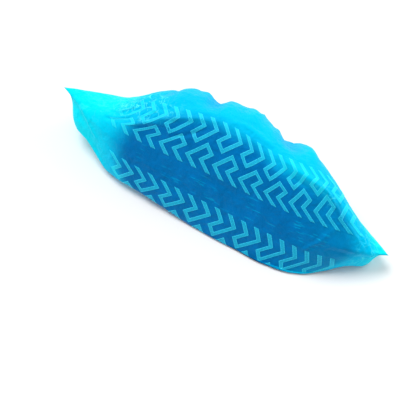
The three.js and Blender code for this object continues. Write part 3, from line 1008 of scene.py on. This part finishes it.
def tread_grower():
    """Repeats a flat strip along its row, and lays the row on the cloth by the blank's own map."""
    inputs = {"Cloth": "Object", "Pairs": "Int", "Spacing": "Float", "Material": "Material"}
    tree = Grower("tread_row", inputs)
    onward = tree.node("ShaderNodeCombineXYZ", {"X": tree.given("Spacing")})
    line = tree.node("GeometryNodeMeshLine", {"Count": tree.given("Pairs"), "Offset": onward})
    sockets = {"Points": line, "Instance": tree.given("Geometry")}
    copies = tree.node("GeometryNodeInstanceOnPoints", sockets)
    copies = tree.node("GeometryNodeRealizeInstances", {"Geometry": copies})

    position = tree.node("GeometryNodeInputPosition")
    x, y, z = (tree.along_axis(position, axis) for axis in "XYZ")
    blank = {"X": x * (1 / FOLD_LENGTH), "Y": y * (0.5 / CLOTH_REACH) + 0.5}
    place = tree.node("ShaderNodeCombineXYZ", blank)
    cloth = tree.node("GeometryNodeObjectInfo", {"Object": tree.given("Cloth")}, out="Geometry")

    def named(name, kind):
        return tree.node("GeometryNodeInputNamedAttribute", {"Name": name}, {"data_type": kind})

    def on_cloth(value, kind):
        sockets = {"Mesh": cloth, "Value": value, "UV Map": own, "Sample UV": place}
        return tree.node("GeometryNodeSampleUVSurface", sockets, {"data_type": kind})

    own = named("blank", "FLOAT_VECTOR")
    tone = on_cloth(named("sole_tone", "FLOAT"), "FLOAT")
    copies = tree.node(
        "GeometryNodeStoreNamedAttribute",
        {"Geometry": copies, "Name": "sole_tone", "Value": tone},
        {"data_type": "FLOAT", "domain": "POINT"},
    )
    foot = on_cloth(tree.node("GeometryNodeInputPosition"), "FLOAT_VECTOR")
    outward = on_cloth(tree.node("GeometryNodeInputNormal"), "FLOAT_VECTOR")
    lift = tree.node("ShaderNodeVectorMath", {"Vector": outward, "Scale": z}, {"operation": "SCALE"})
    laid = tree.vector_function("ADD", foot, lift)
    tree.close(tree.node("GeometryNodeSetPosition", {"Geometry": copies, "Position": laid}))
    return tree


def chevron_corners(row, settings):
    """The corners of a double chevron's middle line on the flat blank, from one tail to the other."""
    slant = math.sqrt(0.5)
    tail = settings.tail * slant
    leg = settings.short_leg * slant
    link = settings.pitch / 2
    corners = [
        (-tail, tail),
        (0, 0),
        (-leg, -leg),
        (link - leg, -link - leg),
        (settings.pitch, 0),
        (settings.pitch - tail, tail),
    ]
    return np.array([(row.start + row.pointing * a, row.from_fold + row.pointing * b) for a, b in corners])


# A strip's cross-section: how far out as a share of its half width, and how high as a share of its height
STRIP_SECTION = (
    (-1.0, -0.3),
    (-1.0, 0.6),
    (-0.86, 1.0),
    (-0.62, 0.75),
    (0.62, 0.75),
    (0.86, 1.0),
    (1.0, 0.6),
    (1.0, -0.3),
)


def strip_edges(corners, width):
    """For each corner, the half width to its left: along the row at the tails, mitred at the bends."""
    onward = unit(np.diff(corners, axis=0))
    normals = np.stack([-onward[:, 1], onward[:, 0]], axis=1)
    edges = [(width / 2 / normals[0, 0], 0)]
    for before, after in zip(normals[:-1], normals[1:]):
        edges.append((before + after) * width / 2 / (1 + before @ after))
    edges.append((width / 2 / normals[-1, 0], 0))
    return np.array(edges)


def flat_strip(name, corners, settings):
    """A double chevron lying flat on the blank, with raised outlines and a ring at each step."""
    step = 1.4 * MM
    edges = strip_edges(corners, settings.width)
    rings = []
    for k in range(len(corners) - 1):
        count = max(2, round(float(np.linalg.norm(corners[k + 1] - corners[k])) / step))
        shares = np.linspace(0, 1, count + 1)[: count + (k == len(corners) - 2)]
        for share in shares:
            rings.append((mix(corners[k], corners[k + 1], share), mix(edges[k], edges[k + 1], share)))
    section = np.array(STRIP_SECTION)
    vertices = [
        (*(centre + edge * out), up * settings.height) for centre, edge in rings for out, up in section
    ]
    sides = len(section)
    faces = []
    for ring in range(len(rings) - 1):
        a, b = ring * sides, (ring + 1) * sides
        faces += [(a + j, b + j, b + (j + 1) % sides, a + (j + 1) % sides) for j in range(sides)]
    last_ring = (len(rings) - 1) * sides
    faces.append(tuple(range(sides)))
    faces.append(tuple(reversed(range(last_ring, last_ring + sides))))
    edge_share = np.tile(np.abs(section[:, 0]), len(rings))
    return make_mesh(name, np.array(vertices), faces, {"edge": edge_share})


def build_tread(settings, cloth):
    """The four printed rows, each laid on the cloth in one go."""
    guide = blank_guide(cloth)
    finish = print_finish(settings)
    tree = tread_grower()
    rows = []
    for row in TREAD_ROWS:
        strip = flat_strip("tread_" + row.name, chevron_corners(row, settings), settings)
        strip.data.materials.append(finish)
        values = {"Cloth": guide, "Pairs": row.pairs, "Spacing": 2 * settings.pitch, "Material": finish}
        rows.append(tree.grow(strip, values))
    bpy.data.objects.remove(guide)
    return rows


def add_light(name, kind, place, energy):
    """A light that looks at the middle of the floor."""
    data = bpy.data.lights.new(name, kind)
    data.energy = energy
    made = bpy.data.objects.new(name, data)
    made.location = place
    made.rotation_euler = Vector(place).to_track_quat("Z", "Y").to_euler()
    bpy.context.scene.collection.objects.link(made)
    return data


def build_floor(settings):
    half = settings.floor_size / 2
    corners = np.array([(-half, -half, 0), (half, -half, 0), (half, half, 0), (-half, half, 0)])
    floor = make_mesh("floor", corners, [(0, 1, 2, 3)])
    finish = Finish("pale_floor")
    paper = finish.blend(finish.noise(finish.place(), 3, 2), (0.9, 0.9, 0.9), (0.93, 0.93, 0.93))
    floor.data.materials.append(finish.surface(Base_Color=paper, Roughness=0.9))


def build_lights(settings):
    world = bpy.data.worlds.new("studio")
    world.use_nodes = True
    background = world.node_tree.nodes["Background"]
    background.inputs["Color"].default_value = (1, 1, 1, 1)
    background.inputs["Strength"].default_value = settings.sky
    bpy.context.scene.world = world
    add_light("key", "SUN", KEY_PLACE, settings.key).angle = math.radians(KEY_ANGLE)
    add_light("rim", "AREA", RIM_PLACE, settings.rim).size = RIM_SIZE
    bpy.context.scene.view_settings.view_transform = "Standard"
    bpy.context.scene.view_settings.look = "None"


def build_camera(settings):
    """The photograph's angle, framed on the middle of the sole."""
    bearing, height = math.radians(CAMERA_BEARING), math.radians(CAMERA_HEIGHT)
    level = Vector((math.sin(bearing), -math.cos(bearing), 0))
    back = level * math.cos(height) + Vector((0, 0, math.sin(height)))
    right = Vector((math.cos(bearing), math.sin(bearing), 0))
    up = back.cross(right)
    middle = placed(np.array([0.0, *SOLE_MIDDLE]))
    aim = Vector(middle) + right * AIM_RIGHT + up * AIM_UP
    data = bpy.data.cameras.new("camera")
    data.lens = settings.lens
    distance = PICTURE_WIDTH * settings.lens / data.sensor_width
    camera = bpy.data.objects.new("camera", data)
    camera.location = aim + back * distance
    camera.rotation_euler = back.to_track_quat("Z", "Y").to_euler()
    bpy.context.scene.collection.objects.link(camera)
    bpy.context.scene.camera = camera


def nodes_of(row_name):
    """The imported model's nodes that one printed row stands for."""
    return sorted(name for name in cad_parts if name.startswith(f"tread_{row_name}_"))


class SHOE_COVER_OT_cloth(bpy.types.Operator):
    """Builds the folded, seamed and gathered cloth"""

    bl_idname = "shoe_cover.cloth"
    bl_label = "Cloth"

    def execute(self, context):
        cloth = build_cloth(context.scene.shoe_cover.cloth)
        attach(cloth, "root")
        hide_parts("cloth_shell")
        return {"FINISHED"}


class SHOE_COVER_OT_hem(bpy.types.Operator):
    """Builds the puckered hem over the elastic"""

    bl_idname = "shoe_cover.hem"
    bl_label = "Elastic hem"

    def execute(self, context):
        settings = context.scene.shoe_cover
        cloth = cloth_surface(settings.cloth.gather_depth)
        hem = build_hem(settings.hem, cloth)
        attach(hem, "root")
        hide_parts("elastic_hem")
        return {"FINISHED"}


class SHOE_COVER_OT_tread(bpy.types.Operator):
    """Prints the rows of chevrons on the sole"""

    bl_idname = "shoe_cover.tread"
    bl_label = "Printed tread"

    def execute(self, context):
        settings = context.scene.shoe_cover
        rows = build_tread(settings.tread, cloth_surface(settings.cloth.gather_depth))
        for row, made in zip(TREAD_ROWS, rows):
            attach(made, "root")
            if nodes_of(row.name):
                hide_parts(*nodes_of(row.name))
        return {"FINISHED"}


class SHOE_COVER_OT_sheet(bpy.types.Operator):
    bl_idname = "shoe_cover.sheet"
    bl_label = "Declare the sheet"

    def execute(self, context):
        return {"FINISHED"}


class SHOE_COVER_OT_stage(bpy.types.Operator):
    """Sets up the floor, the light and the camera"""

    bl_idname = "shoe_cover.stage"
    bl_label = "Stage"

    def execute(self, context):
        settings = context.scene.shoe_cover.stage
        build_floor(settings)
        build_lights(settings)
        build_camera(settings)
        return {"FINISHED"}


class SHOE_COVER_PT_panel(bpy.types.Panel):
    """Lists the pieces of the shoe cover"""

    bl_label = "Shoe cover"
    bl_idname = "SHOE_COVER_PT_panel"
    bl_space_type = "VIEW_3D"
    bl_region_type = "UI"
    bl_category = "Shoe cover"

    def draw(self, context):
        settings = context.scene.shoe_cover
        groups = (settings.cloth, settings.hem, settings.tread, None, settings.stage)
        for operator, group in zip(OPERATORS, groups):
            self.layout.operator(operator.bl_idname)
            if group:
                for name in group.__annotations__:
                    self.layout.prop(group, name)


OPERATORS = (
    SHOE_COVER_OT_cloth,
    SHOE_COVER_OT_hem,
    SHOE_COVER_OT_tread,
    SHOE_COVER_OT_sheet,
    SHOE_COVER_OT_stage,
)
CLASSES = (
    ClothSettings,
    HemSettings,
    TreadSettings,
    StageSettings,
    ShoeCoverSettings,
    *OPERATORS,
    SHOE_COVER_PT_panel,
)


def register():
    for item in CLASSES:
        bpy.utils.register_class(item)
    bpy.types.Scene.shoe_cover = PointerProperty(type=ShoeCoverSettings)


def unregister():
    del bpy.types.Scene.shoe_cover
    for item in reversed(CLASSES):
        bpy.utils.unregister_class(item)


def main():
    register()
    for operator in OPERATORS:
        group, name = operator.bl_idname.split(".")
        getattr(getattr(bpy.ops, group), name)()


if __name__ == "__main__":
    main()
